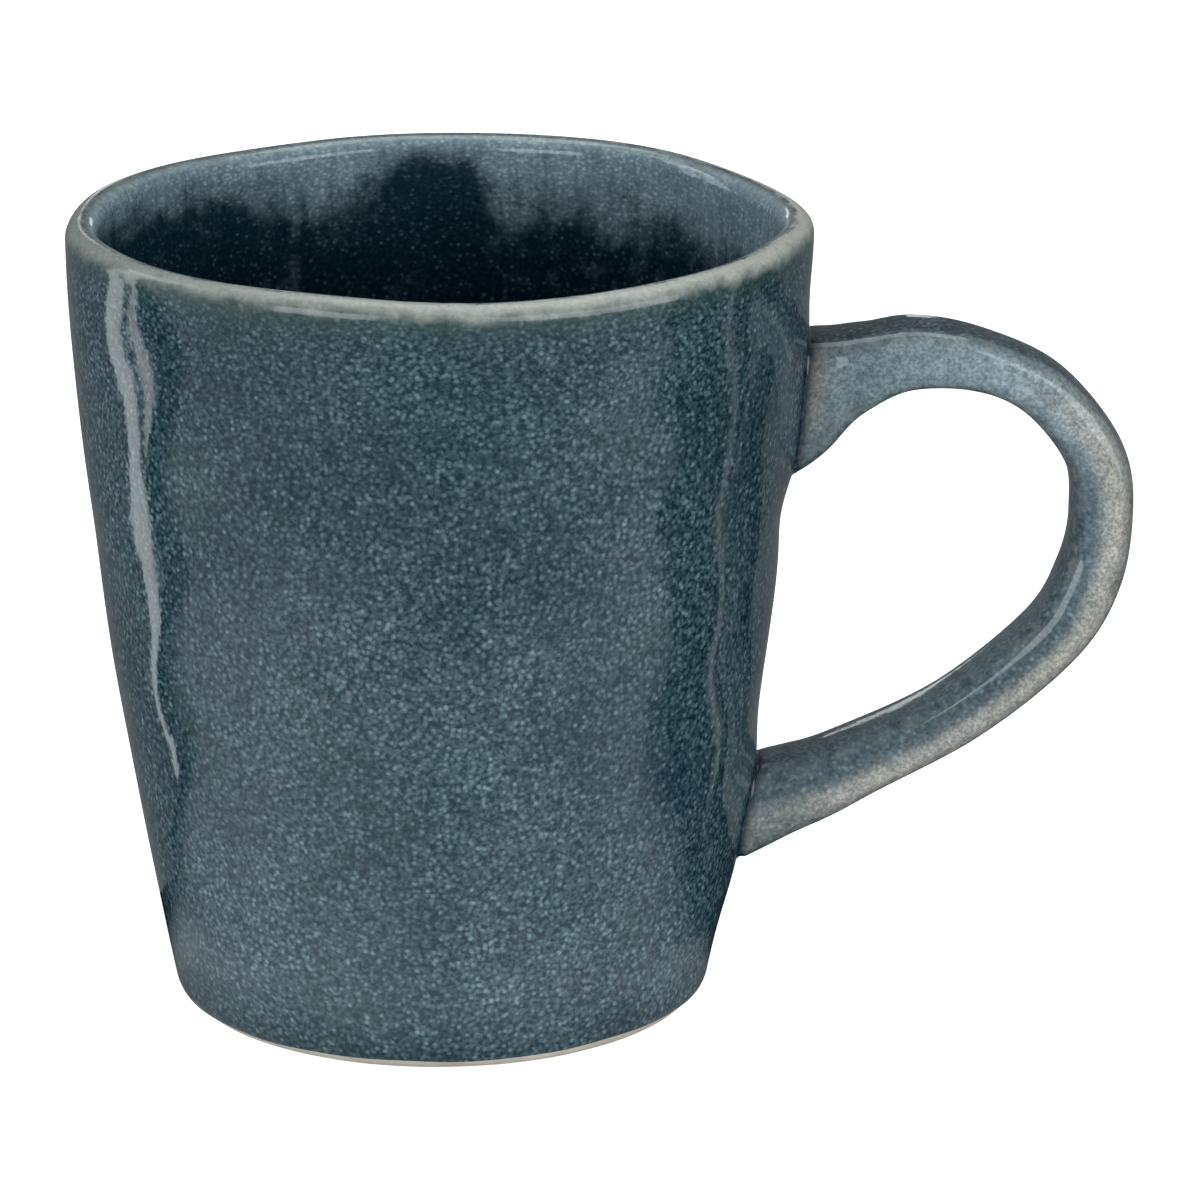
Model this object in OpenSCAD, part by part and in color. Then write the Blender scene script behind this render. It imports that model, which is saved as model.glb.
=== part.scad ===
// Glazed stoneware mug with a strap handle.
// Millimetres. +Z is up, +X points to the handle, and the origin is the
// centre of the foot on the table.

/* [Cup] */
// Outer radius of the mouth
mouth_r = 45; // [40:0.5:50]
// Outer radius at the top of the rounded heel
heel_r = 33.3; // [31:0.1:36]
// Height of the rim's crest above the table
cup_h = 98.8; // [94:0.2:106]
// Power of the wall's taper: 1 is a straight cone, more is a fuller wall
taper_power = 1.6; // [1.1:0.05:2]
// Thickness of the finished wall, which is also the width of the round rim
wall_t = 4; // [3:0.1:5]
// Radius of the rounded heel under the wall
heel_round = 3.4; // [2.8:0.1:4.5]
// Height of the finished floor inside
floor_z = 7.5; // [6:0.1:9]
// Height at which the inside wall starts to curve into the floor
corner_top_z = 18; // [14:0.5:24]

/* [Foot] */
// Inner radius of the foot ring, where the recess under the cup begins
foot_inner_r = 25; // [20:0.5:27]
// Height of the foot ring, and so of the recess
foot_h = 2; // [1.6:0.1:2.4]
// Height of the line where the outer glaze stops above the table
glaze_line_z = 0.8; // [0.4:0.1:1.2]

/* [Glaze] */
// Thickness of every glaze coat
glaze_t = 0.4; // [0.2:0.05:0.6]

/* [Handle] */
// How far the slip joints stand out of the finished wall
joint_proud = 0.8; // [0.4:0.1:1.2]
// Roundness of the strap's section: 2 is an ellipse, more is squarer
strap_power = 4; // [2.5:0.5:6]
// Width of the slip joints across the handle
joint_w = 15; // [13:0.5:18]
// Height of the upper slip joint
upper_joint_h = 20; // [18:0.5:22]
// Height of the lower slip joint
lower_joint_h = 16.5; // [15:0.5:18]

/* [Hidden] */
$fn = 96;

clay_colour = [0.71, 0.66, 0.58];
slip_colour = [0.45, 0.46, 0.45];
glaze_colour = [0.23, 0.33, 0.38];
inner_colour = [0.16, 0.24, 0.28];
strap_colour = [0.36, 0.43, 0.46];

// Steps along each stretch of the cup's section
heel_steps = 5;
wall_steps = 20;
rim_steps = 5;
corner_steps = 8;

// The rim is half a circle, and the wall runs between the rim and the heel
rim_round = wall_t / 2;
crown_z = cup_h - rim_round;
heel_lean = atan((mouth_r - heel_r) * taper_power / (crown_z - heel_round));
wall_z0 = heel_round * (1 - sin(heel_lean));
heel_centre_r = heel_r - heel_round * cos(heel_lean);

// Stations along the strap, from the upper root round to the lower one:
// [x, z, angle of the section, thickness, width]
strap_stations = [
    [44.3, 75.4, 85, 16.3, 12.6],
    [48.0, 77.1, 87, 13.4, 12.2],
    [52.0, 79.3, 88, 10.2, 11.6],
    [57.8, 81.1, 89, 7.9, 11],
    [66.1, 80.5, 66, 6.7, 10.8],
    [74.4, 76.7, 45, 6.9, 10.8],
    [80.1, 68.6, 24, 7.2, 10.8],
    [81.2, 61.0, 0, 7.6, 11],
    [79.9, 53.2, -20, 7.5, 11],
    [75.2, 45.0, -40, 7.3, 11],
    [63.9, 35.6, -57, 7.5, 11],
    [50.4, 28.4, -64, 8.2, 11.2],
    [43.6, 25.2, -82, 10.4, 11.6],
    [38.5, 23.0, -97, 13, 12]
];
rings_per_station = 3;
strap_sides = 24;
cap_steps = 3;
first_station = strap_stations[0];
last_station = strap_stations[len(strap_stations) - 1];

// Outer radius of the finished wall at a height, and its slope there
function wall_left(z) = (crown_z - z) / (crown_z - wall_z0);
function wall_r(z) = mouth_r - (mouth_r - heel_r) * pow(wall_left(z), taper_power);
function wall_slope(z) =
    (mouth_r - heel_r) * taper_power / (crown_z - wall_z0)
    * pow(wall_left(z), taper_power - 1);

// Point at a depth square to the finished outer wall, as [radius, height]
function wall_point(z, depth) =
    let (lean = atan(wall_slope(z)))
    [wall_r(z) - depth * cos(lean), z + depth * sin(lean)];

function arc(centre, r, from, to, steps) = [
    for (i = [0:steps])
        let (a = from + (to - from) * i / steps)
        centre + r * [cos(a), sin(a)]
];

// Outside of the cup at a depth, from the height start_z on the heel to the crest
function outer_side(depth, start_z) = concat(
    arc(
        [heel_centre_r, heel_round], heel_round - depth,
        -asin((heel_round - start_z) / (heel_round - depth)), -heel_lean, heel_steps
    ),
    [
        for (i = [1:wall_steps - 1])
            wall_point(wall_z0 + (crown_z - wall_z0) * i / wall_steps, depth)
    ],
    arc([mouth_r - rim_round, crown_z], rim_round - depth, 0, 90, rim_steps)
);

// The inside corner is an arc that touches both the inside wall and the floor
corner_lean = atan(wall_slope(corner_top_z));
corner_top = wall_point(corner_top_z, wall_t);
corner_round = (corner_top[1] - floor_z) / (1 - sin(corner_lean));
corner_centre = corner_top + corner_round * [-cos(corner_lean), sin(corner_lean)];

// Inside of the cup at a depth, from the crest down to the middle of the floor
function inner_side(depth) = concat(
    arc([mouth_r - rim_round, crown_z], rim_round - depth, 90, 180, rim_steps),
    [
        for (i = [1:wall_steps - 1])
            wall_point(crown_z + (corner_top_z - crown_z) * i / wall_steps, wall_t - depth)
    ],
    arc(corner_centre, corner_round + depth, -corner_lean, -90, corner_steps),
    [[0, floor_z - depth]]
);

function reversed(list) = [for (i = [len(list) - 1:-1:0]) list[i]];

module cup_body() {
    color(clay_colour)
    rotate_extrude()
        polygon(concat(
            [[0, foot_h]],
            outer_side(glaze_t, foot_h),
            inner_side(glaze_t)
        ));
}

module foot_ring() {
    clay_side = outer_side(glaze_t, foot_h);
    glaze_line_angle = -asin((heel_round - glaze_line_z) / heel_round);
    color(clay_colour)
    rotate_extrude()
        polygon(concat(
            [[foot_inner_r, 0]],
            arc([heel_centre_r, heel_round], heel_round, -90, glaze_line_angle, heel_steps),
            [clay_side[0], [foot_inner_r, foot_h]]
        ));
}

// Upright slab with round corners that reaches out along +X from the axis,
// in the shape of a slip joint's footprint on the wall
module footprint(station, h) {
    corner_r = 5;
    translate([0, 0, station[1]])
    rotate([90, 0, 90])
    linear_extrude(height = 2 * mouth_r) {
        square([joint_w, h - 2 * corner_r], center = true);
        square([joint_w - 2 * corner_r, h], center = true);
        for (y = [-1, 1], z = [-1, 1])
            translate([y * (joint_w / 2 - corner_r), z * (h / 2 - corner_r)])
            circle(r = corner_r);
    }
}

module outer_glaze() {
    color(glaze_colour)
    difference() {
        rotate_extrude()
            polygon(concat(
                outer_side(0, glaze_line_z),
                reversed(outer_side(glaze_t, foot_h))
            ));
        footprint(first_station, upper_joint_h);
        footprint(last_station, lower_joint_h);
    }
}

module inner_glaze() {
    color(inner_colour)
    rotate_extrude()
        polygon(concat(inner_side(0), reversed(inner_side(glaze_t))));
}

module underside_glaze() {
    color(glaze_colour)
    translate([0, 0, foot_h - glaze_t])
    cylinder(h = glaze_t, r = foot_inner_r);
}

// Slip joint: the part of a thin shell round the wall that fills one footprint
module slip_joint(station, h) {
    color(slip_colour)
    intersection() {
        rotate_extrude()
            polygon(concat(
                outer_side(-joint_proud, foot_h),
                reversed(outer_side(glaze_t, foot_h))
            ));
        footprint(station, h);
    }
}

module upper_joint() {
    slip_joint(first_station, upper_joint_h);
}

module lower_joint() {
    slip_joint(last_station, lower_joint_h);
}

// Smooth curve through four stations, between the middle two
function through(a, b, c, d, t) =
    b + (c - a) * t / 2
    + (2 * a - 5 * b + 4 * c - d) * pow(t, 2) / 2
    + (3 * b - a - 3 * c + d) * pow(t, 3) / 2;

// Station at any place along the strap: 0 is the first, 1 the next and so on
function station_at(place) =
    let (
        last = len(strap_stations) - 1,
        i = min(floor(place), last - 1),
        before = strap_stations[max(i - 1, 0)],
        after = strap_stations[min(i + 2, last)]
    )
    through(before, strap_stations[i], strap_stations[i + 1], after, place - i);

// Ring of points round the strap at a station, inset from its finished surface
function strap_ring(station, inset) = [
    for (i = [0:strap_sides - 1])
        let (
            a = 360 * i / strap_sides,
            out = squared(cos(a)) * (station[3] / 2 - inset),
            across = squared(sin(a)) * (station[4] / 2 - inset)
        )
        [
            station[0] + out * cos(station[2]),
            across,
            station[1] + out * sin(station[2])
        ]
];

// Turns a cosine or sine into the squarer one of the strap's section
function squared(c) = sign(c) * pow(abs(c), 2 / strap_power);

// Moves a point along X onto the outer face of the slip joints
joint_radii = [for (p = outer_side(-joint_proud, foot_h)) [p[1], p[0]]];
function on_joint(p) = [
    sqrt(pow(lookup(p[2], joint_radii), 2) - pow(p[1], 2)), p[1], p[2]
];

// The root's ring on the joint, drawn in towards its middle by a factor
function root_ring(station, inset, factor) =
    let (middle = [station[0], 0, station[1]])
    [for (p = strap_ring(station, inset)) on_joint(middle + (p - middle) * factor)];

function root_middle(station) = on_joint([station[0], 0, station[1]]);

// Every ring of the strap at an inset, with its end rings on the joints
function strap_rings(inset) =
    let (count = rings_per_station * (len(strap_stations) - 1))
    concat(
        [root_ring(first_station, inset, 1)],
        [for (i = [2:count - 2]) strap_ring(station_at(i / rings_per_station), inset)],
        [root_ring(last_station, inset, 1)]
    );

// Two triangles for each side between two rings that start at points a and b
function band(a, b) = [
    for (i = [0:strap_sides - 1])
        let (next = (i + 1) % strap_sides)
        each [[a + i, a + next, b + next], [a + i, b + next, b + i]]
];

module handle_core() {
    shrink = [for (i = [1:cap_steps - 1]) i / cap_steps];
    rings = concat(
        [for (s = shrink) root_ring(first_station, glaze_t, s)],
        strap_rings(glaze_t),
        [for (s = reversed(shrink)) root_ring(last_station, glaze_t, s)]
    );
    last_ring = strap_sides * (len(rings) - 1);
    first_pole = strap_sides * len(rings);
    last_pole = first_pole + 1;
    color(clay_colour)
    polyhedron(
        points = concat(
            [for (ring = rings) each ring],
            [root_middle(first_station), root_middle(last_station)]
        ),
        faces = concat(
            [for (i = [0:len(rings) - 2]) each band(strap_sides * i, strap_sides * (i + 1))],
            [for (i = [0:strap_sides - 1]) [first_pole, (i + 1) % strap_sides, i]],
            [
                for (i = [0:strap_sides - 1])
                    [last_pole, last_ring + i, last_ring + (i + 1) % strap_sides]
            ]
        )
    );
}

module handle_glaze() {
    rings = concat(strap_rings(0), reversed(strap_rings(glaze_t)));
    color(strap_colour)
    polyhedron(
        points = [for (ring = rings) each ring],
        faces = [
            for (i = [0:len(rings) - 1])
                each band(strap_sides * i, strap_sides * ((i + 1) % len(rings)))
        ]
    );
}

cup_body();
foot_ring();
handle_core();
upper_joint();
lower_joint();
outer_glaze();
inner_glaze();
handle_glaze();
underside_glaze();
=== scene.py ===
import math

import bpy
import numpy as np
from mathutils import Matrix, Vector


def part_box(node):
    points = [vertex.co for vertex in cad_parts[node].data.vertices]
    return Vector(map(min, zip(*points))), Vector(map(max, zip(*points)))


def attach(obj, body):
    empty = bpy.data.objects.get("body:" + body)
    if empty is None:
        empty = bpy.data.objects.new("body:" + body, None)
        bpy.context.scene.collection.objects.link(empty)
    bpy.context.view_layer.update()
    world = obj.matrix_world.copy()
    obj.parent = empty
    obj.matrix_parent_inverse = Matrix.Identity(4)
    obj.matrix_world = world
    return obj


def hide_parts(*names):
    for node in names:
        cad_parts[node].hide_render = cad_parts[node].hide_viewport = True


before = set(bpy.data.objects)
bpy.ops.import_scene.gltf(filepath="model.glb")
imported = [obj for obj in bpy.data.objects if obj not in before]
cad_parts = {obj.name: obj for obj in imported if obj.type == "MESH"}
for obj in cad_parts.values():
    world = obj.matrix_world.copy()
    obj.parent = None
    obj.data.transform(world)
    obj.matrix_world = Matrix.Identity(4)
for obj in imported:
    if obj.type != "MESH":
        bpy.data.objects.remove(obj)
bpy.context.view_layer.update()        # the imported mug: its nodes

# The mug's shape in metres. What the frame can tell is read from it, and the rest
# repeats the design: how the wall tapers, and how the heel and the floor are rounded.
MM = 0.001
outer_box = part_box("outer_glaze")
disc_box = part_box("underside_glaze")
mouth_r = -outer_box[0][0]
cup_h = outer_box[1][2]
glaze_line_z = outer_box[0][2]
glaze_t = disc_box[1][2] - disc_box[0][2]
foot_inner_r = disc_box[1][0]
foot_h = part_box("foot_ring")[1][2]
floor_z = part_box("inner_glaze")[0][2] + glaze_t
heel_r = 33.3 * MM
heel_round = 3.4 * MM
wall_t = 4 * MM
taper_power = 1.6
corner_top_z = 18 * MM

rim_round = wall_t / 2
crown_z = cup_h - rim_round
heel_lean = math.atan((mouth_r - heel_r) * taper_power / (crown_z - heel_round))
wall_z0 = heel_round * (1 - math.sin(heel_lean))
heel_centre_r = heel_r - heel_round * math.cos(heel_lean)

# Where the handle meets the wall, as heights above the table
upper_root_z = 75.4 * MM
lower_root_z = 23.0 * MM

# Where fingers steadied the wall, as an angle round the cup from the handle
finger_row = -2.62

# Stations along the strap, from the upper root round to the lower one, in
# millimetres and degrees: x, z, angle of the section, thickness, width
strap_stations = np.array([
    [44.3, 75.2, 85, 16.9, 12.6],
    [48.0, 76.9, 87, 14.1, 12.2],
    [52.0, 79.3, 88, 10.2, 11.6],
    [57.8, 81.1, 89, 7.9, 11.0],
    [65.9, 80.3, 66, 6.9, 10.8],
    [74.2, 76.4, 45, 6.8, 10.8],
    [80.4, 68.5, 24, 7.3, 10.8],
    [81.5, 60.9, 0, 7.9, 11.0],
    [80.2, 53.0, -20, 8.1, 11.0],
    [75.4, 44.7, -40, 7.9, 11.0],
    [64.0, 35.3, -57, 8.0, 11.0],
    [50.4, 28.2, -64, 8.5, 11.2],
    [43.6, 25.3, -82, 10.2, 11.6],
    [38.5, 23.2, -97, 12.7, 12.0],
])
strap_square = 4.6        # power of the squared ellipse at the upper root
strap_round = 2.9         # and from the bend onwards, where the strap is rounder


# ---------------------------------------------------------------- the wall's form

def smooth(value, low, high):
    """0 below low, 1 above high, and an even S curve between them."""
    t = np.clip((value - low) / (high - low), 0, 1)
    return t * t * (3 - 2 * t)


def bell(value, middle, width):
    """1 at the middle, falling off evenly on both sides: e to the power of minus the square
    of the distance over the width."""
    return np.exp(-((value - middle) / width) ** 2)


def wrapped(angle):
    """The same angle, between minus half a turn and half a turn."""
    return (angle + math.pi) % (2 * math.pi) - math.pi


def wall_r(z):
    """Outer radius at a height: the mouth's radius less a power of the way down to the heel."""
    left = np.clip((crown_z - z) / (crown_z - wall_z0), 0, 1)
    return mouth_r - (mouth_r - heel_r) * left ** taper_power


def wall_lean(z):
    """Angle by which the wall leans outwards at a height: the arc tangent of its slope."""
    left = np.clip((crown_z - z) / (crown_z - wall_z0), 0, 1)
    slope = (mouth_r - heel_r) * taper_power / (crown_z - wall_z0) * left ** (taper_power - 1)
    return np.arctan(slope)


def wall_point(z, depth):
    """Radius and height of a point at a depth square to the outer wall."""
    lean = wall_lean(z)
    return wall_r(z) - depth * np.cos(lean), z + depth * np.sin(lean)


def hand_made(angle, z):
    """How far the wall stands out of a true round, in metres: slow waves round the front and
    back, a finer one that winds up the cup, a row of dents where fingers steadied it on the
    left, and each side's own profile, made of soft steps and bumps in height. The foot
    stays true."""
    turned = wrapped(angle)
    up, high = z / cup_h, z / MM
    handle_side = (
        0.80 * smooth(high, 80, 97) - 0.70 * bell(high, 63, 6.0)
        + 0.35 * bell(high, 31, 7.0) + 0.30 * bell(high, 12, 6.0)
    )
    far_side = 0.05 * smooth(high, 74, 95) - 0.22 * bell(high, 62, 9.0) - 0.12 * bell(high, 24, 10.0)
    sides = handle_side * bell(turned, 0, 0.42) + far_side * bell(np.abs(turned), math.pi, 0.45)
    waves = (
        0.15 * np.cos(3 * angle + 0.9 + 2.2 * up)
        + 0.12 * np.cos(5 * angle - 1.0 + 1.6 * np.sin(5.0 * up))
        + 0.18 * np.cos(7 * angle + 0.6 - 2 * math.pi * high / 23)
        + 0.04 * np.cos(13 * angle + 4.0 * np.sin(9.0 * up))
    )
    between = 1 - bell(np.sin(angle), 0, 0.35)
    off = turned - finger_row
    fingers = 0.20 * np.sin(6 * off) * bell(off, 0, 0.36) * np.cos(2 * math.pi * (high - 79) / 22)
    return MM * (sides + fingers + waves * between) * smooth(z, 2 * MM, 12 * MM)


def rim_wave(angle, z):
    """How far the rim rises and dips, in metres: low waves round it, a rise at the back, a
    dip at the back left and a rise over the finger dents, all fading downwards."""
    turned = wrapped(angle)
    waves = 0.30 * np.cos(4 * (angle - 1.08)) + 0.10 * np.cos(7 * angle + 0.5)
    back = 0.45 * bell(turned, 1.60, 0.60) - 0.20 * bell(turned, 2.70, 0.24)
    left = 0.55 * bell(turned, finger_row, 0.34)
    return MM * (waves + back + left) * smooth(z, 0.7 * cup_h, cup_h)


def pad(angle, z):
    """How far the slip under the handle's roots swells the wall, in metres: a low mound
    round each root, with a flat top and soft edges."""
    across = wall_r(z) * np.sin(angle)
    near = np.cos(angle) > 0
    upper = 0.95 * np.exp(-(across / (8.8 * MM)) ** 4 - ((z - upper_root_z) / (11.5 * MM)) ** 4)
    lower = 0.80 * np.exp(-(across / (8.6 * MM)) ** 4 - ((z - lower_root_z) / (10.0 * MM)) ** 4)
    return MM * near * (upper + lower)


def wall_surface_x(y, z):
    """How far out along +X the finished wall lies, for points near the handle: the round
    wall with its waves and pads, turned from radius and angle to X."""
    angle = np.arcsin(np.clip(y / wall_r(z), -0.9, 0.9))
    r = wall_r(z) + hand_made(angle, z) + pad(angle, z)
    return np.sqrt(r * r - y * y)


# ---------------------------------------------------------------- making meshes

def grid_faces(rings, sides, first=0, closed=False):
    """Quads between rings of points that are numbered ring by ring. Each ring closes on
    itself, and closed joins the last ring to the first."""
    ring = np.arange(rings if closed else rings - 1)[:, None]
    side = np.arange(sides)[None, :]
    after = (ring + 1) % rings
    beside = (side + 1) % sides
    corners = [ring * sides + side, ring * sides + beside, after * sides + beside, after * sides + side]
    return first + np.stack(np.broadcast_arrays(*corners), -1).reshape(-1, 4)


def fan_faces(pole, ring_start, sides, flip=False):
    """Triangles from one pole point to a ring of points."""
    side = np.arange(sides)
    beside = (side + 1) % sides
    fan = np.stack([np.full(sides, pole), ring_start + beside, ring_start + side], -1)
    return fan[:, ::-1] if flip else fan


def pole_fans(rings, sides):
    """Triangles that close a run of rings at both ends, on two poles that are numbered
    after the rings' points."""
    first = rings * sides
    start_fan = fan_faces(first, 0, sides)
    end_fan = fan_faces(first + 1, (rings - 1) * sides, sides, flip=True)
    return np.concatenate([start_fan, end_fan])


def angles_round(sides):
    """Evenly spaced angles round a full turn, as one row."""
    return np.linspace(0, 2 * math.pi, sides, endpoint=False)[None, :]


def build_piece(name, points, quads, triangles=None, attributes=None, sharp=40):
    """Makes a mesh object from whole arrays of points and faces, with its attributes, and
    turns its faces outwards: if the volume inside comes out negative, all faces are flipped."""
    if triangles is None:
        triangles = np.zeros((0, 3), int)
    split = np.concatenate([quads[:, [0, 1, 2]], quads[:, [0, 2, 3]], triangles])
    a, b, c = (points[split[:, i]] for i in range(3))
    if np.einsum("ij,ij->i", a, np.cross(b, c)).sum() < 0:
        quads, triangles = quads[:, ::-1], triangles[:, ::-1]
    mesh = bpy.data.meshes.new(name)
    mesh.vertices.add(len(points))
    mesh.vertices.foreach_set("co", np.ascontiguousarray(points, np.float32).ravel())
    corners = np.concatenate([quads.ravel(), triangles.ravel()])
    starts = np.concatenate([
        4 * np.arange(len(quads)), 4 * len(quads) + 3 * np.arange(len(triangles))
    ])
    mesh.loops.add(len(corners))
    mesh.loops.foreach_set("vertex_index", corners.astype(np.int32))
    mesh.polygons.add(len(starts))
    mesh.polygons.foreach_set("loop_start", starts.astype(np.int32))
    mesh.update(calc_edges=True)
    mesh.validate()
    for key, values in (attributes or {}).items():
        is_vector = values.ndim == 2
        layer = mesh.attributes.new(key, "FLOAT_VECTOR" if is_vector else "FLOAT", "POINT")
        layer.data.foreach_set(
            "vector" if is_vector else "value", np.ascontiguousarray(values, np.float32).ravel()
        )
    mesh.shade_smooth()
    mesh.set_sharp_from_angle(angle=math.radians(sharp))
    piece = bpy.data.objects.new(name, mesh)
    bpy.context.scene.collection.objects.link(piece)
    return piece


def stretched(count, power=2.0):
    """Numbers from 0 to 1 that crowd towards 1."""
    return 1 - (1 - np.linspace(0, 1, count)) ** power


# ---------------------------------------------------------------- the cup's section

def glaze_line(angle):
    """Height at which the glaze stops above the table: a wandering line, highest at the
    front right."""
    wander = 0.10 * np.cos(3 * angle + 1.4) + 0.08 * np.cos(7 * angle) + 0.05 * np.cos(16 * angle + 2)
    return glaze_line_z + MM * (0.38 + 0.36 * np.cos(angle - math.radians(312)) + wander)


def rim_arc(turn, depth):
    """Radius and height on the half round of the rim, at a turn from its outer side."""
    arc_r = rim_round - depth
    return mouth_r - rim_round + arc_r * np.cos(turn), crown_z + arc_r * np.sin(turn)


def outside_section(angle, depth, start_z, rows):
    """Radius and height along the outside, one row per ring and one column per angle: the
    heel's arc from start_z, the tapering wall, and the outer quarter of the round rim."""
    heel_rows, wall_rows, rim_rows = rows
    arc_r = heel_round - depth
    from_angle = -np.arcsin((heel_round - start_z) / arc_r)
    share = np.linspace(0, 1, heel_rows)[:, None]
    turn = from_angle * (1 - share) - heel_lean * share
    heel = heel_centre_r + arc_r * np.cos(turn), heel_round + arc_r * np.sin(turn)
    z = np.linspace(wall_z0, crown_z, wall_rows)[1:-1, None] + 0 * angle
    wall = wall_point(z, depth)
    turn = math.pi / 2 * stretched(rim_rows)[:, None] + 0 * angle
    rim = rim_arc(turn, depth)
    return np.concatenate([heel[0], wall[0], rim[0]]), np.concatenate([heel[1], wall[1], rim[1]])


def inside_section(angle, depth, rows):
    """Radius and height along the inside: the inner quarter of the rim, the inside wall,
    the corner's arc that touches wall and floor, and the floor nearly to its middle."""
    rim_rows, wall_rows, corner_rows, floor_rows = rows
    turn = math.pi - math.pi / 2 * stretched(rim_rows)[::-1, None] + 0 * angle
    rim = rim_arc(turn, depth)
    z = np.linspace(crown_z, corner_top_z, wall_rows)[1:-1, None] + 0 * angle
    wall = wall_point(z, wall_t - depth)
    lean = float(wall_lean(corner_top_z))
    top_r, top_z = wall_point(corner_top_z, wall_t)
    corner_r = (top_z - floor_z) / (1 - math.sin(lean))
    centre_r, centre_z = top_r - corner_r * math.cos(lean), top_z + corner_r * math.sin(lean)
    share = np.linspace(0, 1, corner_rows)[:, None]
    turn = -lean * (1 - share) - math.pi / 2 * share + 0 * angle
    corner = centre_r + (corner_r + depth) * np.cos(turn), centre_z + (corner_r + depth) * np.sin(turn)
    r = np.linspace(centre_r, 0, floor_rows + 1)[1:-1, None] + 0 * angle
    floor = r, 0 * r + floor_z - depth
    return (
        np.concatenate([rim[0], wall[0], corner[0], floor[0]]),
        np.concatenate([rim[1], wall[1], corner[1], floor[1]]),
    )


def spun(angle, r, z, padded):
    """Turns radius and height into points, with the hand-made waves, and with the mounds
    at the handle's roots where padded is 1."""
    height = z + rim_wave(angle, z)
    radius = r + hand_made(angle, z) * smooth(r, 18 * MM, 30 * MM) + padded * pad(angle, z)
    return np.stack([radius * np.cos(angle), radius * np.sin(angle), height], -1)


def along(r, z):
    """Distance run along each column of a section, from its first row."""
    step = np.hypot(np.diff(r, axis=0), np.diff(z, axis=0))
    return np.concatenate([0 * r[:1], np.cumsum(step, axis=0)])


flow_depth = 22 * MM       # how far below the lip the speckles are drawn out
run_squeeze = 0.13         # by how much heights shrink in the pattern that the runs follow
far_from_lip = 50 * MM     # a distance at which the lip's colours have long ended
under_lip = 4 * MM         # the same for the coat's hidden back, which is never seen


def flow_grain(points, lip):
    """Places for the speckles: the point itself, with its height drawn together near the
    lip, so that the speckles run longer there, as glaze does where it has flowed. Inside,
    where lip is below 0, the effect is twice that outside."""
    grain = points.copy()
    below = np.clip((cup_h - points[..., 2]) / flow_depth, 0, 1)
    drawn = 0.28 * flow_depth * (1 - below) ** 2
    grain[..., 2] = points[..., 2] + drawn * np.where(lip > 0, 0.5, 1.0)
    return grain


def haze_and_painted_light_inside(angle, run):
    """How pale the lining is, from 0 to 1: a band under the lip that is partly glaze run
    thinner and streaky and partly painted light and reflection of the lamps on the far inner
    wall, and that fades out downwards, partly as painted shade, at a depth of its own at each
    angle. It hangs down in two broad tongues at the back with a dark gap between them, a
    darker patch of the painted reflection, and in one at the handle's side. Small waves
    break its edge."""
    def tongue(low, high, soft):
        """1 between two angles in degrees, with soft edges."""
        turned = np.degrees(angle) % 360
        return smooth(turned, low - soft, low + soft) * (1 - smooth(turned, high - soft, high + soft))

    back = 5.2 * tongue(100, 120, 7) + 6.0 * tongue(44, 81, 4) + 1.4 * tongue(120, 160, 12)
    handle_side = 8.0 * tongue(6, 40, 8)
    gap = 1.0 * tongue(83, 98, 6)
    small = 0.6 * np.cos(9 * angle) + 0.5 * np.cos(17 * angle + 1) + 0.35 * np.cos(31 * angle + 2)
    reach = 5.6 + back + handle_side - gap + small
    return 1 - smooth(-run / MM, 0.0, 1.5 * reach)


def warm_lip(angle):
    """How strongly the lip breaks to cream round the cup: most at the front right."""
    towards = 0.5 + 0.5 * np.cos(angle - math.radians(322))
    return 0.42 + 0.66 * towards ** 1.2


def near_roots(points):
    """1 in the crease round the handle's roots, and 0 away from it: a narrow band that
    follows the outline of each root."""
    x, y, z = points[..., 0], points[..., 1], points[..., 2]

    def outside_root(middle_z, half_width, half_height):
        """How far a point lies outside a root's outline, seen from the handle's side."""
        beside = np.maximum(np.abs(y) - half_width * MM, 0)
        return np.hypot(beside, np.maximum(np.abs(z - middle_z) - half_height * MM, 0))

    nearest = np.minimum(outside_root(upper_root_z, 5.0, 7.2), outside_root(lower_root_z, 4.8, 5.6))
    return (x > 0) * (1 - smooth(nearest, 0.4 * MM, 1.8 * MM))


def glaze_attributes(points, lip, pool, edge=0.0, thin=0.0):
    """What the glaze's recipe reads at each point: the speckles' places, the same places
    squeezed in height for runs down the wall, the distance from the rim's crest in
    millimetres (minus inside), where it pools and breaks, and how pale it runs: glaze run
    thinner, and inside and on the strap's lower arm partly painted light and reflection."""
    whole = np.zeros(points.shape[:-1])
    return {
        "grain": flow_grain(points, lip).reshape(-1, 3),
        "lip": (lip + whole).ravel() / MM,
        "pool": (pool + whole).ravel(),
        "edge": (edge + whole).ravel(),
        "thin": (thin + whole).ravel(),
        "streak": (points * [1, 1, run_squeeze]).reshape(-1, 3),
    }


# ---------------------------------------------------------------- the pieces of the cup

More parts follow.
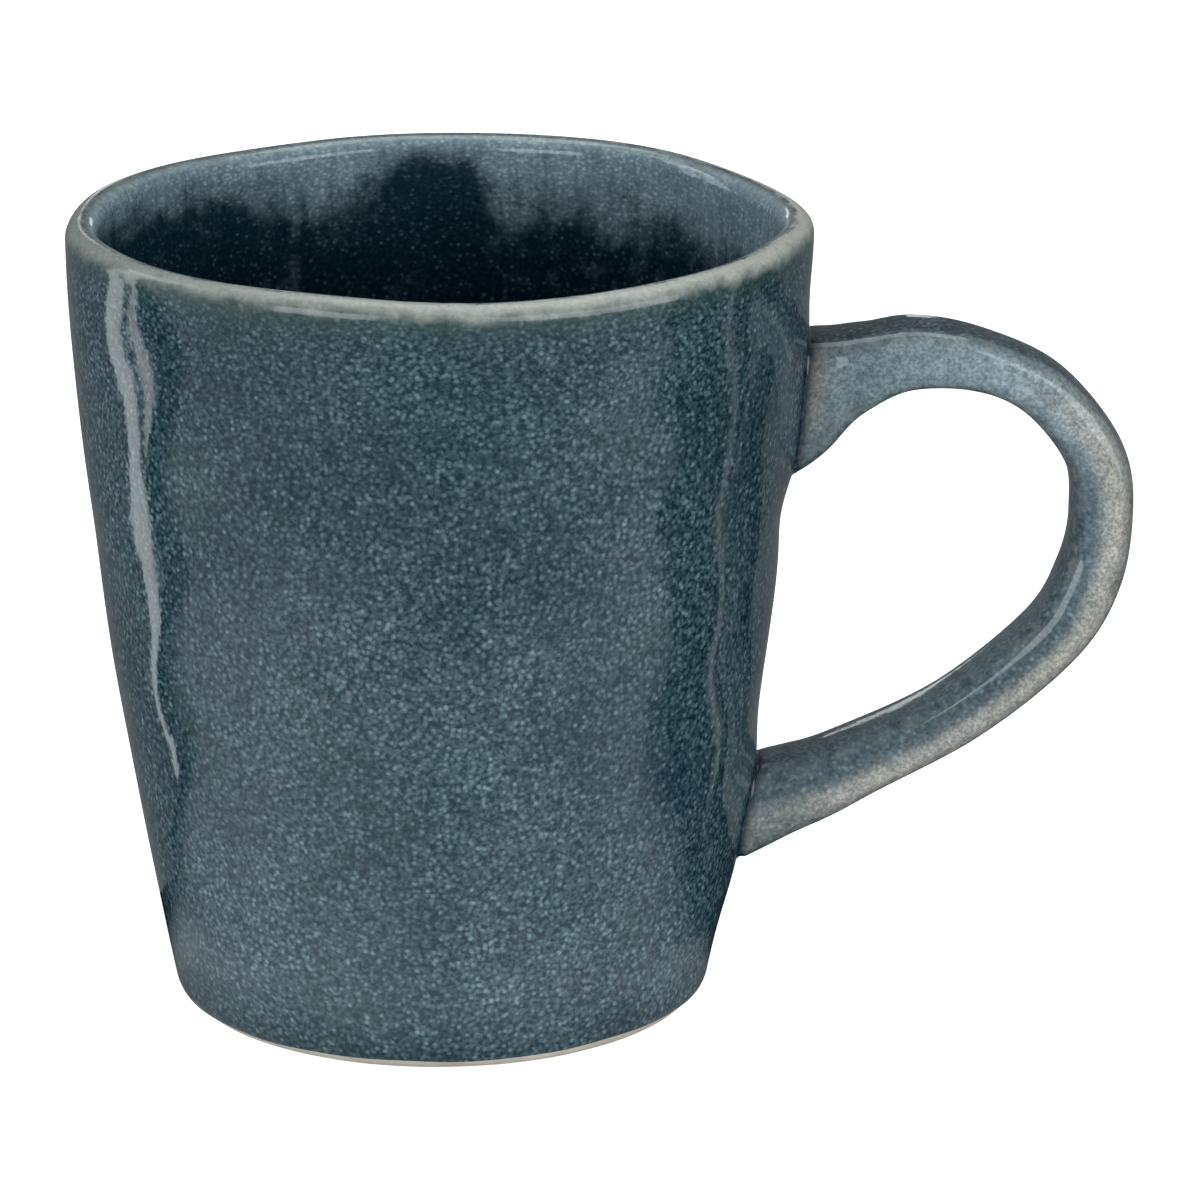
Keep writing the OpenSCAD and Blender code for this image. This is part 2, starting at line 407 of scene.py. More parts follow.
def make_outer_glaze():
    """The coat outside: the finished surface from the wandering glaze line up to the crest
    of the rim, with a rounded bead along its lower edge, and its back on the clay. The
    glaze pools a little above the foot and more in the creases round the roots."""
    sides = 320
    angle = angles_round(sides)
    line = glaze_line(angle)
    r, z = outside_section(angle, 0.0, line, (26, 176, 34))
    run = along(r, z)
    bead = 0.42 * MM
    sunk = 0.30 * MM * (1 - np.sqrt(1 - (1 - np.clip(run / bead, 0, 1)) ** 2))
    r, z = r - 0.75 * sunk, z + 0.65 * sunk
    lip = run[-1:] - run
    front = spun(angle, r, z, 1)
    r_back, z_back = outside_section(angle, glaze_t, np.maximum(line + 0.55 * MM, 1.2 * MM), (5, 30, 5))
    back = spun(angle, r_back, z_back, 1)[::-1]
    points = np.concatenate([front, back])
    lip = np.concatenate([lip, under_lip + 0 * r_back])
    above_foot = 0.25 * (1 - smooth(points[..., 2], 1.4 * MM, 4.0 * MM))
    pool = np.maximum(above_foot, 0.9 * near_roots(points))
    rows = len(points)
    return build_piece(
        "outer_glaze_coat", points.reshape(-1, 3), grid_faces(rows, sides, closed=True),
        attributes=glaze_attributes(points, lip, pool, edge=warm_lip(angle)),
    )


def make_inner_glaze():
    """The coat inside: from the crest of the rim down the wall and over the floor, with its
    back on the clay. Front and back each close on one pole in the middle of the floor."""
    sides = 300
    angle = angles_round(sides)
    r, z = inside_section(angle, 0.0, (34, 130, 30, 12))
    run = along(r, z)
    front = spun(angle, r, z, 0)
    r_back, z_back = inside_section(angle, glaze_t, (5, 26, 8, 4))
    back = spun(angle, r_back, z_back, 0)[::-1]
    points = np.concatenate([back, front])
    lip = np.concatenate([-along(r_back, z_back)[::-1], -run]) - 0.01 * MM
    rows = len(points)
    flat = points.reshape(-1, 3)
    poles = np.array([[0, 0, floor_z - glaze_t], [0, 0, floor_z]])
    attributes = glaze_attributes(points, lip, 0.0, warm_lip(angle), haze_and_painted_light_inside(angle, lip))
    at_poles = {"grain": poles, "streak": poles, "lip": -run.max() / MM}
    for key, values in attributes.items():
        extra = np.broadcast_to(at_poles.get(key, 0), (2,) + values.shape[1:])
        attributes[key] = np.concatenate([values, extra])
    return build_piece(
        "inner_glaze_coat", np.concatenate([flat, poles]), grid_faces(rows, sides),
        pole_fans(rows, sides), attributes,
    )


def make_clay_cup():
    """The fired clay under both coats: the same section at the glaze's depth, closed on a
    pole in the middle of the floor and one under it."""
    sides = 160
    angle = angles_round(sides)
    r_out, z_out = outside_section(angle, glaze_t, foot_h + 0 * angle, (6, 46, 8))
    r_in, z_in = inside_section(angle, glaze_t, (8, 36, 10, 4))
    outside, inside = spun(angle, r_out, z_out, 1), spun(angle, r_in[1:], z_in[1:], 0)
    points = np.concatenate([outside, inside])
    rows = len(points)
    poles = np.array([[0, 0, foot_h], [0, 0, floor_z - glaze_t]])
    flat = np.concatenate([points.reshape(-1, 3), poles])
    return build_piece("clay_cup", flat, grid_faces(rows, sides), pole_fans(rows, sides))


def make_foot_ring():
    """The bare ring: a closed outline of flat foot, rounded outer flank, hidden top and
    rounded inner lip, spun round. Its flank waves by a few hundredths, as wiped clay does."""
    sides = 288
    angle = angles_round(sides)
    arc_r = heel_round - 0.4 * MM
    centre_r = heel_centre_r - 0.1 * MM
    turn = np.linspace(-math.pi / 2, -math.asin((arc_r - foot_h) / arc_r), 14)
    flank = np.stack([centre_r + arc_r * np.cos(turn), arc_r + arc_r * np.sin(turn)], -1)
    lip_r = 0.5 * MM
    turn = np.linspace(-math.pi, -math.pi / 2, 7)
    lip = np.stack([foot_inner_r + lip_r + lip_r * np.cos(turn), lip_r + lip_r * np.sin(turn)], -1)
    outline = np.concatenate([lip, flank, [[foot_inner_r, foot_h]]])
    r, z = outline[:, :1] + 0 * angle, outline[:, 1:] + 0 * angle
    wiped = 0.03 * MM * np.cos(11 * angle + 1) + 0.02 * MM * np.cos(23 * angle)
    r = r + wiped * smooth(r, centre_r, centre_r + 1.5 * MM)
    points = np.stack([r * np.cos(angle), r * np.sin(angle), z], -1)
    return build_piece(
        "bare_foot_ring", points.reshape(-1, 3), grid_faces(len(outline), sides, closed=True)
    )


def make_underside_glaze():
    """The glaze in the recess: a thin disc whose edge hangs a little down the foot ring's
    inside, and whose face keeps the shallow spiral of the turning tool as low rings."""
    sides = 192
    angle = angles_round(sides)
    r = np.linspace(0.4 * MM, foot_inner_r, 60)[:, None] + 0 * angle
    rings = 0.03 * MM * np.cos(2 * math.pi * r / (3.1 * MM) + angle)
    climb = 0.35 * MM * smooth(r, foot_inner_r - 1.6 * MM, foot_inner_r) ** 2
    face = np.stack([r * np.cos(angle), r * np.sin(angle), foot_h - glaze_t + rings - climb], -1)
    back = np.stack([r * np.cos(angle), r * np.sin(angle), 0 * r + foot_h], -1)[::-1]
    points = np.concatenate([face, back])
    rows = len(points)
    poles = np.array([[0, 0, foot_h - glaze_t], [0, 0, foot_h]])
    flat = np.concatenate([points.reshape(-1, 3), poles])
    return build_piece(
        "underside_glaze_disc", flat, grid_faces(rows, sides), pole_fans(rows, sides),
        glaze_attributes(flat, far_from_lip, 0.5),
    )


# ---------------------------------------------------------------- the handle

def strap_at(place):
    """Station values at places along the strap: 0 is the first, 1 the next and so on. A
    smooth curve runs through the stations, from each one's two neighbours."""
    last = len(strap_stations) - 1
    i = np.clip(np.floor(place).astype(int), 0, last - 1)
    t = (place - i)[..., None]
    a, b = strap_stations[np.maximum(i - 1, 0)], strap_stations[i]
    c, d = strap_stations[i + 1], strap_stations[np.minimum(i + 2, last)]
    return (
        b + (c - a) * t / 2
        + (2 * a - 5 * b + 4 * c - d) * t ** 2 / 2
        + (3 * b - a - 3 * c + d) * t ** 3 / 2
    )


def strap_points(place, turn, grow=0.0):
    """Points on the strap's surface at a place along it and a turn round it. The section is
    a squared ellipse that gets rounder on the way into the bend, pulled by hand: its size
    swells and thins by a tenth of a millimetre. Turn 0 faces away from the finger gap."""
    x, z, lean, thick, wide = np.moveaxis(strap_at(place), -1, 0)
    power = strap_square + (strap_round - strap_square) * smooth(place, 3.0, 7.0)
    out, across = np.cos(turn), np.sin(turn)
    out = np.sign(out) * np.abs(out) ** (2 / power)
    across = np.sign(across) * np.abs(across) ** (2 / power)
    pulled = 0.10 * np.sin(2.3 * place + 0.4) + 0.07 * np.sin(4.1 * place + 2 * np.sin(turn))
    out = out * (thick / 2 + 0.6 * pulled + grow / MM)
    across = across * (wide / 2 + pulled + grow / MM)
    lean = np.radians(lean)
    return MM * np.stack([x + out * np.cos(lean), across, z + out * np.sin(lean)], -1)


def make_handle_glaze():
    """The glazed strap: its section carried along the stations. Both ends carry on level
    into the wall, where they close on a pole. The coat thins and turns pale on the upper
    arm's faces, round the bend and on the lower arm's outer half, and lies thicker on the
    face towards the fingers, which on the lower arm is lifted a little by a painted
    reflection from above. It is grey at first and turns to beige on the way into the
    bend, and it is beige close to the upper root too."""
    sides = 96
    last = len(strap_stations) - 1
    turn = angles_round(sides)
    place = np.linspace(0, last, 300)[:, None]
    strap = strap_points(place + 0 * turn, turn)
    sink = np.array([1.6, 0.8])[:, None, None] * MM * np.array([1.0, 0, 0])
    points = np.concatenate([strap[:1] - sink, strap, strap[-1:] - sink[::-1]])
    rows = len(points)
    poles = np.stack([points[0].mean(0), points[-1].mean(0)])
    flat = np.concatenate([points.reshape(-1, 3), poles])
    share = np.concatenate([[0, 0], place[:, 0], [last, last]])[:, None]
    corner = np.abs(np.cos(turn) * np.sin(turn)) * 2
    edge = corner ** 3 + 0 * share
    out = np.sign(np.cos(turn)) * np.abs(np.cos(turn)) ** (2 / strap_square)
    upper_arm = 0.55 + 0.40 * smooth(share, 1.5, 5.0)
    upper_arm = upper_arm * smooth(out, -1.1, -0.2) * (1 - smooth(out, 0.93, 1.0))
    bend = 0.22 + 0.78 * smooth(out, -0.7, 0.2)
    near_end = smooth(share, 10.8, 12.4)
    # The 0.22 on the face towards the fingers is a painted reflection from above.
    lower_arm = 0.20 + 0.22 * (1 - smooth(out, -1.0, -0.86))
    lower_arm = lower_arm + 0.76 * smooth(out, -0.25, 0.70) * (1 - 0.95 * near_end)
    lower_arm = lower_arm + 0.28 * near_end * smooth(out, -0.7, 0.0) * (1 - smooth(out, 0.2, 0.8))
    into_bend, past_bend = smooth(share, 5.2, 6.8), smooth(share, 7.6, 9.0)
    thin = upper_arm * (1 - into_bend) + bend * into_bend * (1 - past_bend) + lower_arm * past_bend
    thin = thin * (1 - 0.60 * smooth(out, 0.55, 1.0))
    warm = smooth(share, 3.8, 6.4) * smooth(out, -0.7, 0.3)
    warm = warm + 0.9 * (1 - smooth(share, 0.3, 1.3)) * smooth(out, -0.9, 0.2)
    root = np.minimum(points[..., 0] - wall_surface_x(points[..., 1], points[..., 2]), 9 * MM)
    pool = 1 - smooth(root, 0.2 * MM, 1.6 * MM)
    values = glaze_attributes(points, far_from_lip, pool, edge, np.clip(thin, 0, 1))
    values["warm"] = np.clip(warm, 0, 1).ravel()
    for key, column in values.items():
        extra = poles if values[key].ndim == 2 else np.stack([column[0], column[-1]])
        values[key] = np.concatenate([column, extra])
    return build_piece("glazed_strap", flat, grid_faces(rows, sides), pole_fans(rows, sides), values)


def make_clay_strap():
    """The fired clay inside the sleeve: the strap's own surface drawn in by a little more
    than the glaze's thickness, with both ends buried in the wall."""
    sides = 48
    last = len(strap_stations) - 1
    turn = angles_round(sides)
    place = np.linspace(0, last, 120)[:, None]
    strap = strap_points(place + 0 * turn, turn, -1.2 * glaze_t)
    rows = len(strap)
    poles = np.stack([strap[0].mean(0), strap[-1].mean(0)])
    flat = np.concatenate([strap.reshape(-1, 3), poles])
    return build_piece("clay_strap", flat, grid_faces(rows, sides), pole_fans(rows, sides))


def make_slip(name, first_place, second_place, roundness):
    """The slip squeezed out round a root: a ring with a hollow quarter-round face that
    touches both the strap and the wall, closed by a hidden back inside the clay. A ring's
    points lie where the strap, followed outwards, stands at their height off the wall."""
    sides = 96
    turn = angles_round(sides)
    bend = np.linspace(0, math.pi / 2, 12)
    face = np.stack([1 - np.cos(bend), 1 - np.sin(bend)], -1)
    section = np.concatenate([[[-0.9, 1.15], [-0.05, 1.1]], face, [[1.0, -0.5], [-0.9, -0.5]]])
    grow, lift = (roundness * section[:, i, None] + 0 * turn for i in (0, 1))

    def off_wall(place, grow):
        """How far the strap's surface, grown a little, stands off the wall along +X."""
        points = strap_points(place, turn, grow)
        return points[..., 0] - wall_surface_x(points[..., 1], points[..., 2])

    near = off_wall(first_place + 0 * grow, grow)
    far = off_wall(second_place + 0 * grow, grow)
    share = np.clip((np.maximum(lift, 0) - near) / (far - near), -0.2, 1.5)
    place = np.clip(first_place + (second_place - first_place) * share, 0, len(strap_stations) - 1)
    points = strap_points(place, turn, grow)
    points[..., 0] = wall_surface_x(points[..., 1], points[..., 2]) + lift
    return build_piece(
        name, points.reshape(-1, 3), grid_faces(len(section), sides, closed=True),
        attributes=glaze_attributes(points, far_from_lip, 0.85),
    )


# ---------------------------------------------------------------- recipes for the finishes

def tone(red, green, blue):
    """A colour given as 0 to 255 on a screen, as the light it stands for."""
    screen = np.array([red, green, blue]) / 255
    light = np.where(screen <= 0.04045, screen / 12.92, ((screen + 0.055) / 1.055) ** 2.4)
    return (*light.tolist(), 1.0)


class Recipe:
    """A material's node tree, with one short call for each kind of step."""

    def __init__(self, name):
        self.material = bpy.data.materials.new(name)
        self.material.use_nodes = True
        self.tree = self.material.node_tree
        self.shader = self.tree.nodes["Principled BSDF"]

    def step(self, kind, inputs=None, **settings):
        """A new node of a kind, with its settings, and its inputs fed by name."""
        node = self.tree.nodes.new(kind)
        for key, value in settings.items():
            setattr(node, key, value)
        for key, value in (inputs or {}).items():
            self.feed(node.inputs[key], value)
        return node

    def feed(self, socket, value):
        """Links an input to another node's output, or sets it where the value is plain."""
        if isinstance(value, bpy.types.NodeSocket):
            self.tree.links.new(value, socket)
        else:
            socket.default_value = value

    def measure(self, name, output="Fac"):
        """A measure that the piece's own points carry."""
        return self.step("ShaderNodeAttribute", attribute_name=name).outputs[output]

    def sum(self, operation, *values):
        """A sum on plain numbers: one of Blender's operations on two or three values."""
        node = self.step("ShaderNodeMath", operation=operation)
        for socket, value in zip(node.inputs, values):
            self.feed(socket, value)
        return node.outputs[0]

    def fade(self, value, low, high, start=0.0, end=1.0):
        """From start to end as the value goes from low to high, on an S curve."""
        inputs = {"Value": value, "From Min": low, "From Max": high, "To Min": start, "To Max": end}
        return self.step("ShaderNodeMapRange", inputs, interpolation_type="SMOOTHSTEP").outputs[0]

    def blend(self, share, first, second):
        """A mix of two colours, by the share of the second."""
        node = self.step("ShaderNodeMix", data_type="RGBA")
        for socket, value in zip((node.inputs[0], node.inputs[6], node.inputs[7]), (share, first, second)):
            self.feed(socket, value)
        return node.outputs[2]

    def noise(self, place, per_metre, detail=2.0, rough=0.5, swirl=0.0):
        """Cloudy noise from 0 to 1, with so many clouds to the metre."""
        inputs = {"Vector": place, "Scale": per_metre, "Detail": detail}
        inputs.update({"Roughness": rough, "Distortion": swirl})
        return self.step("ShaderNodeTexNoise", inputs).outputs[0]

    def specks(self, place, per_metre, size):
        """Soft round specks, one in each cell, each of its own strength."""
        cells = self.step("ShaderNodeTexVoronoi", {"Vector": place, "Scale": per_metre}, feature="F1")
        dot = self.fade(cells.outputs["Distance"], size, size * 0.2)
        strength = self.step("ShaderNodeSeparateColor", {"Color": cells.outputs["Color"]})
        return self.sum("MULTIPLY", dot, self.fade(strength.outputs[0], 0.0, 1.0, 0.25, 1.0))


deep_blue = tone(16, 42, 57)
deep_teal = tone(15, 47, 54)
pale_fleck = tone(120, 145, 153)
# painted shade: the lining deep in the cup
lining_painted_shade = tone(4, 28, 42)
lining_dark = tone(20, 46, 57)
lining_fleck = tone(74, 102, 114)
# The next three colours make the pale haze inside, partly the glaze's own and partly painted light and
# reflection; the last is a pale line at the crest, partly a painted highlight.
lining_haze_and_reflection = tone(122, 147, 160)
haze_fleck = tone(190, 206, 212)
crest_pale_and_highlight = tone(184, 196, 196)
pooled_blue = tone(12, 26, 42)
lip_cream = tone(208, 208, 198)
lip_olive = tone(66, 88, 82)
strap_grey = tone(184, 200, 208)
strap_beige = tone(214, 205, 190)
strap_pepper = tone(84, 104, 114)
clay_beige = tone(204, 190, 174)
clay_pale = tone(226, 214, 200)
iron_brown = tone(122, 98, 78)


def glaze_recipe(name, strap=False):
    """Reactive glaze: a deep ground that drifts between blue and teal, covered in pale soft
    specks and short threads between them, and dark where it pools. On the strap it thins to
    a peppered grey or beige, lifted on the lower arm's face towards the fingers by a painted
    reflection. On the cup it breaks to cream on the lip over a band of olive. Inside it is
    dark with few specks and darkens further with depth to a painted shade, under a pale,
    ragged haze that is partly the glaze's own and partly painted light and reflection of the lamps."""
    r = Recipe(name)
    place, streak = r.measure("grain", "Vector"), r.measure("streak", "Vector")
    lip, pool, thin = r.measure("lip"), r.measure("pool"), r.measure("thin")

    drift = r.fade(r.noise(place, 62, 3.0, 0.55), 0.40, 0.60)
    cloud = r.fade(r.noise(place, 210, 3.0, 0.6), 0.32, 0.68)
    threads = r.fade(r.noise(place, 1650, 2.0, 0.55, 0.5), 0.36, 0.66)
    round_specks = r.specks(place, 1330, 0.62)
    bright_specks = r.specks(place, 1000, 0.40)
    flecks = r.sum("MULTIPLY_ADD", threads, 0.38, r.sum("MULTIPLY", round_specks, 0.78))
    flecks = r.sum("MULTIPLY", flecks, r.fade(cloud, 0.0, 1.0, 0.72, 1.0))
    flecks = r.sum("MULTIPLY", flecks, r.fade(r.noise(place, 36, 3.0, 0.6), 0.38, 0.62, 0.74, 1.12))
    flecks = r.sum("MULTIPLY_ADD", bright_specks, 0.72, flecks)
    flecks = r.sum("MINIMUM", flecks, 1.35)

    ground = r.blend(drift, deep_teal, deep_blue)
    colour = r.blend(r.sum("MULTIPLY", flecks, 0.80), ground, pale_fleck)
    if strap:
        ragged = r.fade(r.noise(place, 520, 4.0, 0.65), 0.30, 0.65, 0.60, 1.0)
        shade = r.blend(r.measure("warm"), strap_grey, strap_beige)
        peppered = r.fade(r.noise(place, 2200, 3.0, 0.65, 0.3), 0.36, 0.62)
        shade = r.blend(r.sum("MULTIPLY", peppered, 0.58), shade, strap_pepper)
        colour = r.blend(r.sum("MULTIPLY", thin, ragged), colour, shade)
        edge = r.sum("MULTIPLY", r.measure("edge"), r.fade(r.noise(place, 500, 3.0), 0.3, 0.7, 0.0, 0.22))
        colour = r.blend(edge, colour, lip_cream)
    else:
        inside = r.fade(lip, 0.3, -1.6)
        sparse = r.sum("MULTIPLY_ADD", flecks, 0.25, r.sum("MULTIPLY", bright_specks, 0.55))
        # From 5 to 20 mm below the crest the lining darkens to a painted shade, for the shade deep in the
        # cup.
        lining = r.blend(sparse, r.blend(r.fade(lip, -5.0, -20.0), lining_dark, lining_painted_shade), lining_fleck)
        run = r.fade(r.noise(streak, 950, 3.0, 0.65), 0.30, 0.62, 0.72, 1.0)
        # The haze under the lip is partly the glaze's own streaky colour and partly painted light and
        # reflection of the lamps; at the crest it turns to a pale line that is partly a painted highlight.
        haze = r.blend(flecks, lining_haze_and_reflection, haze_fleck)
        haze = r.blend(r.fade(lip, -2.4, -0.5, 0.0, 0.75), haze, crest_pale_and_highlight)
        broken = r.sum("MULTIPLY_ADD", r.noise(place, 170, 5.0, 0.7), 1.3, r.sum("SUBTRACT", thin, 0.65))
        broken = r.sum("MULTIPLY_ADD", r.noise(streak, 420, 2.0), 0.5, r.sum("SUBTRACT", broken, 0.25))
        lining = r.blend(r.sum("MULTIPLY", r.fade(broken, 0.02, 0.90), run), lining, haze)
        colour = r.blend(inside, colour, lining)
        ragged = r.sum("ADD", lip, r.fade(r.noise(place, 260, 4.0, 0.6), 0.2, 0.8, -0.6, 0.6))
        olive = r.sum("MULTIPLY", r.fade(ragged, 6.5, 2.2), r.fade(ragged, -1.0, 0.5))
        colour = r.blend(r.sum("MULTIPLY", olive, 0.60), colour, lip_olive)
        cream = r.sum("MULTIPLY", r.fade(ragged, 3.6, 1.0), r.fade(ragged, -0.6, 0.4))
        cream = r.sum("MULTIPLY", cream, r.measure("edge"))
        grain = r.fade(r.noise(place, 1500, 3.0, 0.7), 0.25, 0.75, 0.70, 1.0)
        colour = r.blend(r.sum("MULTIPLY", cream, grain), colour, lip_cream)
    colour = r.blend(r.sum("MULTIPLY", pool, 0.8), colour, pooled_blue)
    r.feed(r.shader.inputs["Base Color"], colour)

    gloss = r.fade(flecks, 0.0, 1.0, 0.07, 0.12)
    if not strap:
        gloss = r.sum("MULTIPLY_ADD", cream, 0.30, gloss)
    r.feed(r.shader.inputs["Roughness"], gloss)
    skin = r.sum("MULTIPLY_ADD", r.noise(place, 330, 2.0), 1.0, r.sum("MULTIPLY", flecks, 0.10))
    bump = r.step("ShaderNodeBump", {"Height": skin, "Strength": 0.25, "Distance": 0.00012})
    r.feed(r.shader.inputs["Normal"], bump.outputs[0])
    r.shader.inputs["IOR"].default_value = 1.5
    return r.material


def clay_recipe(name):
    """Bare fired stoneware: warm beige with fine dark iron grains, dry and slightly rough."""
    r = Recipe(name)
    place = r.step("ShaderNodeTexCoord").outputs["Object"]
    cloud = r.fade(r.noise(place, 180, 4.0, 0.6), 0.3, 0.7)
    colour = r.blend(cloud, clay_beige, clay_pale)
    iron = r.fade(r.noise(place, 1500, 2.0, 0.6), 0.66, 0.74)
    colour = r.blend(r.sum("MULTIPLY", iron, 0.5), colour, iron_brown)
    r.feed(r.shader.inputs["Base Color"], colour)
    r.feed(r.shader.inputs["Roughness"], r.fade(cloud, 0, 1, 0.78, 0.9))
    tooth = r.noise(place, 2400, 3.0, 0.7)
    bump = r.step("ShaderNodeBump", {"Height": tooth, "Strength": 0.5, "Distance": 0.00008})
    r.feed(r.shader.inputs["Normal"], bump.outputs[0])
    return r.material


def dress(piece, material, slot, *nodes):
    """Gives a piece its finish, seats it on the one body, and hides the nodes it stands for."""
    piece.data.materials.append(material)
    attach(piece, "root")
    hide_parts(*nodes)


# ---------------------------------------------------------------- putting it together

cup_glaze = glaze_recipe("cup_glaze")
strap_glaze = glaze_recipe("strap_glaze", strap=True)
bare_clay = clay_recipe("bare_clay")
inner_clay = clay_recipe("clay_under_glaze")

dress(make_outer_glaze(), cup_glaze, "outer_glaze", "outer_glaze")
dress(make_inner_glaze(), cup_glaze, "inner_glaze", "inner_glaze")
dress(make_underside_glaze(), cup_glaze, "outer_glaze", "underside_glaze")
dress(make_clay_cup(), inner_clay, "clay", "cup_body")
dress(make_clay_strap(), inner_clay, "clay", "handle_core")
dress(make_foot_ring(), bare_clay, "bare_clay", "foot_ring")
dress(make_handle_glaze(), strap_glaze, "handle_glaze", "handle_glaze")
# A slip ring looks for the wall between two places along the strap, counted in stations
slip_round = 0.5 * MM
upper_slip = make_slip("upper_slip_fillet", 0.0, 0.7, slip_round)
lower_slip = make_slip("lower_slip_fillet", 13.0, 12.4, slip_round)
dress(upper_slip, strap_glaze, "slip", "upper_joint")
dress(lower_slip, strap_glaze, "slip", "lower_joint")


# ---------------------------------------------------------------- the table and the lights

studio_middle = Vector((0.0, 0.0, 0.05))
lamp_white = (0.92, 0.98, 1.0)
table_white = (0.90, 0.97, 1, 1)
table_half = 3.0              # half the side of the paper, in metres


def make_table():
    """A wide sheet of plain white paper, burnt out as in a catalogue. Only the camera sees
    it: the mug mirrors the studio's own lights instead."""
    mesh = bpy.data.meshes.new("table")
    sunk = -0.05 * MM
    corners = [(x * table_half, y * table_half, sunk) for x, y in ((-1, -1), (1, -1), (1, 1), (-1, 1))]
    mesh.from_pydata(corners, [], [(0, 1, 2, 3)])
    table = bpy.data.objects.new("table", mesh)
    bpy.context.scene.collection.objects.link(table)
    table.visible_diffuse = False
    table.visible_glossy = False
    table.visible_transmission = False
    table.visible_shadow = False
    paper = Recipe("white_paper")
    paper.shader.inputs["Base Color"].default_value = (0.9, 0.9, 0.9, 1)
    paper.shader.inputs["Roughness"].default_value = 0.9
    paper.shader.inputs["Specular IOR Level"].default_value = 0.0
    paper.shader.inputs["Emission Color"].default_value = (1, 1, 1, 1)
    paper.shader.inputs["Emission Strength"].default_value = 0.93
    mesh.materials.append(paper.material)


def make_lit_table():
    """The part of the table that the lamps light, as the glaze mirrors it: a flat fan round
    the mug's front, from the left round to behind the right, and further left close to the
    foot. Its glow falls off outwards, has a ring round the foot, dips towards the camera
    and at both sides of the foot, is raised in two soft patches and lowered in one, fades
    at both edges and has a thin bright line at the right. The camera doesn't see it."""
    sides, rings = 200, 60
    inner_r, outer_r = 0.031, 0.85
    r = (inner_r * (outer_r / inner_r) ** np.linspace(0, 1, rings))[:, None]
    by_foot = 1 - smooth(r, 0.046, 0.060)
    turn_from, turn_to = -1.71 - 0.85 * by_foot, 2.18
    turn = turn_from + (turn_to - turn_from) * np.linspace(0, 1, sides)[None, :]
    sunk = -0.02 * MM
    points = np.stack(np.broadcast_arrays(r * np.sin(turn), -r * np.cos(turn), sunk), -1)
    near_foot = bell(r, 0.045, 0.014) * np.cos(turn * 0.8) ** 2
    glow = 0.55 + 0.45 * np.exp(-(r - 0.05) / 0.12) + 0.28 * near_foot
    glow = glow * (1 - 0.22 * bell(turn, 0, 0.20)) * (0.35 + 0.65 * smooth(r, 0.034, 0.046))
    glow = glow * (1 - 0.42 * bell(turn, 0.05, 0.80) * smooth(r, 0.10, 0.20))
    glow = glow * (1 + 0.42 * bell(turn, -0.98, 0.45) * bell(r, 0.14, 0.07))
    glow = glow * (1 + 0.35 * bell(turn, 1.02, 0.24) * bell(r, 0.20, 0.10))
    glow = glow * (1 - 0.30 * bell(turn, 0.85, 0.45) * bell(r, 0.06, 0.03))
    glow = glow * (1 - 0.65 * smooth(np.abs(turn), 0.9, 1.5) * np.exp(-(r - 0.03) / 0.05))
    soft = 0.07 + 0.24 * np.exp(-(r - 0.03) / 0.06)
    right = 1.20 + 0.06 * np.sin(9 * np.log(r / 0.03)) + 0.50 * np.exp(-(r - 0.03) / 0.030)
    left = -1.50 - 0.10 * np.exp(-(r - 0.03) / 0.05) - 0.20 * by_foot
    glow = glow * smooth(turn, left - soft, left + soft) * (1 - smooth(turn, right - soft, right + soft))
    glow = glow + 0.8 * bell(turn, 1.74, 0.03) * smooth(r, 0.06, 0.10)
    ring, side = np.arange(rings - 1)[:, None], np.arange(sides - 1)[None, :]
    first = ring * sides + side
    faces = np.stack([first, first + sides, first + sides + 1, first + 1], -1).reshape(-1, 4)
    mesh = bpy.data.meshes.new("lit_table")
    mesh.from_pydata(points.reshape(-1, 3), [], faces.tolist())
    layer = mesh.attributes.new("glow", "FLOAT", "POINT")
    layer.data.foreach_set("value", np.ascontiguousarray(glow, np.float32).ravel())
    fan = bpy.data.objects.new("lit_table", mesh)
    bpy.context.scene.collection.objects.link(fan)
    fan.visible_camera = False
    fan.visible_shadow = False
    shine = Recipe("lit_table")
    shine.shader.inputs["Base Color"].default_value = (0, 0, 0, 1)
    shine.shader.inputs["Specular IOR Level"].default_value = 0.0
    shine.shader.inputs["Emission Color"].default_value = table_white
    shine.feed(shine.shader.inputs["Emission Strength"], shine.measure("glow"))
    mesh.materials.append(shine.material)


def make_light(name, place, facing, width, height, glow):
    """A soft box: a glowing rectangle at a place, turned to face a point. Its power follows
    from the glow wanted over its area."""
    lamp = bpy.data.lights.new(name, "AREA")
    lamp.shape, lamp.size, lamp.size_y = "RECTANGLE", width, height
    lamp.color = lamp_white
    lamp.energy = math.pi * width * height * glow
    holder = bpy.data.objects.new(name, lamp)
    holder.location = place
    holder.rotation_euler = (Vector(facing) - Vector(place)).to_track_quat("-Z", "Y").to_euler()
    holder.visible_camera = False
    bpy.context.scene.collection.objects.link(holder)


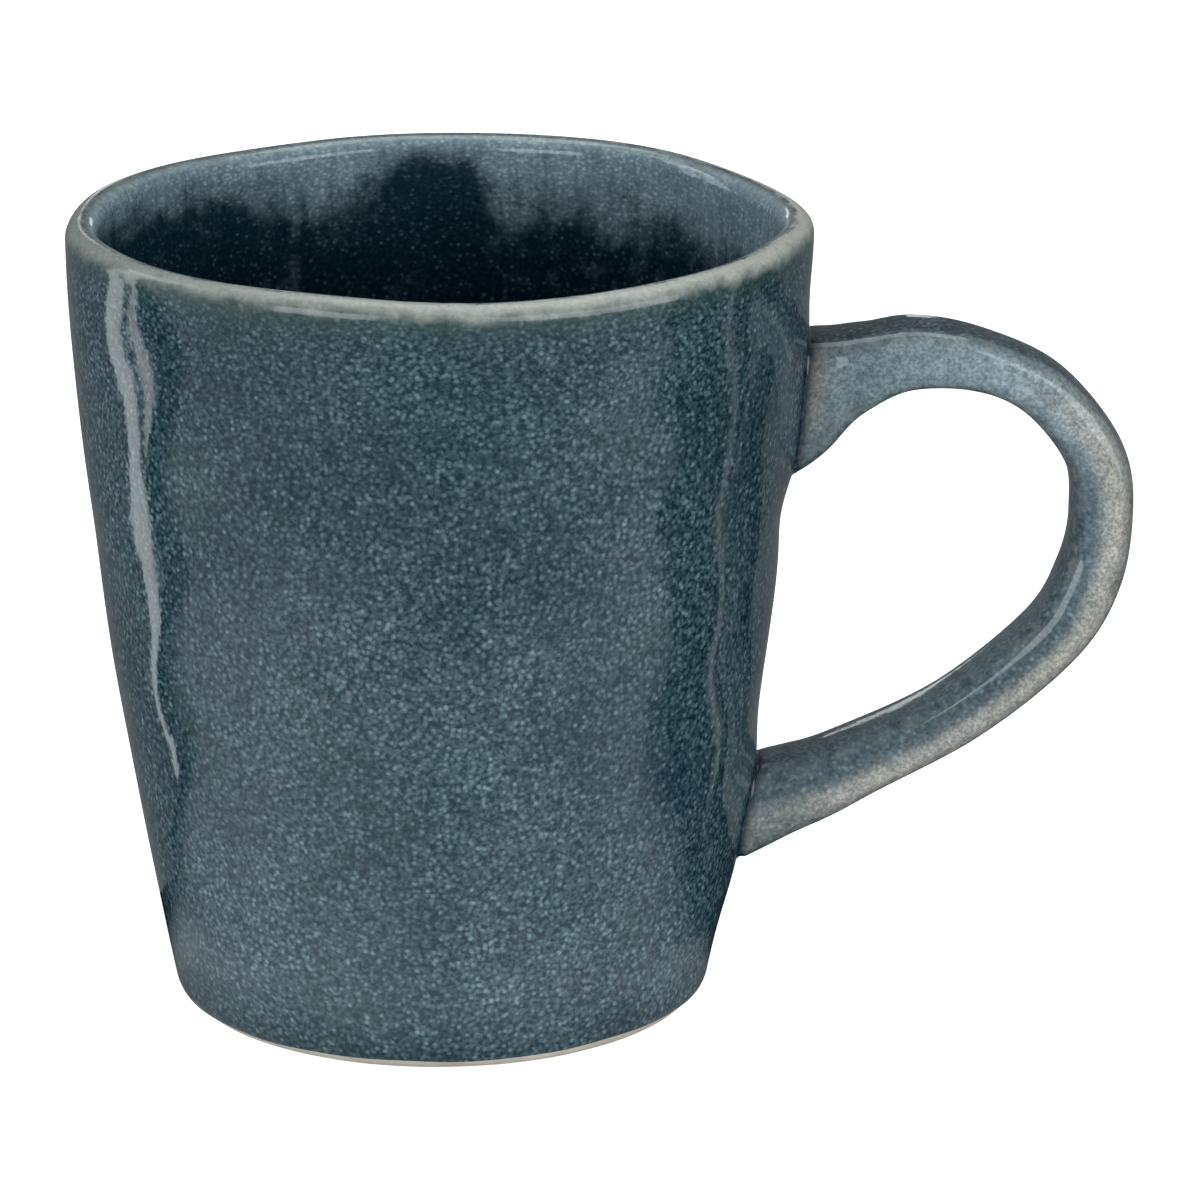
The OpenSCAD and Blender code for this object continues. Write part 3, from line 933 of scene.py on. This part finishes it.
def stand_light(name, turn, away, height, width, tall, glow):
    """Stands a soft box round the mug: turn is in degrees to the right of the camera."""
    turn = math.radians(turn)
    place = studio_middle + Vector((away * math.sin(turn), -away * math.cos(turn), height))
    make_light(name, place, studio_middle, width, tall, glow)


def make_camera():
    """A long lens that looks slightly down, with the handle on the right. It stands at an
    angle above the level of its pivot on the cup's axis, and aims between cup and handle."""
    down = math.radians(16.93)
    away = 0.82
    pivot_z = 0.048
    aim = Vector((0.0198, 0.0, 0.0498))
    lens = bpy.data.cameras.new("camera")
    lens.lens = 199.1
    lens.sensor_width = 36
    holder = bpy.data.objects.new("camera", lens)
    holder.location = Vector((0, -away * math.cos(down), pivot_z + away * math.sin(down)))
    holder.rotation_euler = (aim - holder.location).to_track_quat("-Z", "Y").to_euler()
    bpy.context.scene.collection.objects.link(holder)
    bpy.context.scene.camera = holder


make_table()
make_camera()
make_lit_table()

# Each stands at a turn in degrees, and at a distance and a height from the middle of the
# mug in metres. Then come how wide it is, how tall it is and how strongly it glows.
stand_light("left_front_box", -35, 1.0, 0.20, 0.60, 0.55, 3.6)
stand_light("right_front_box", 47, 1.0, 0.20, 1.00, 0.55, 3.2)
stand_light("window_pane_near", -101.8, 0.6, 0.12, 0.072, 0.74, 2.3)
stand_light("window_pane_far", -112.2, 0.6, 0.05, 0.095, 0.92, 2.4)
stand_light("window_head_near", -106, 0.75, 0.67, 0.07, 0.35, 3.4)
stand_light("window_head_far", -117, 0.75, 0.67, 0.07, 0.35, 3.4)
stand_light("strip_behind_right", 171.5, 1.0, 0.160, 0.055, 0.16, 1.5)
stand_light("strip_behind_left", -171.5, 1.0, 0.175, 0.055, 0.19, 1.7)
make_light("overhead_box", (0.0, 0.30, 1.1), studio_middle, 0.9, 0.7, 2.0)

world = bpy.data.worlds.new("studio")
bpy.context.scene.world = world
world.use_nodes = True
world.node_tree.nodes["Background"].inputs["Color"].default_value = (0.9, 0.96, 1, 1)
world.node_tree.nodes["Background"].inputs["Strength"].default_value = 0.16
bpy.context.scene.view_settings.view_transform = "Standard"
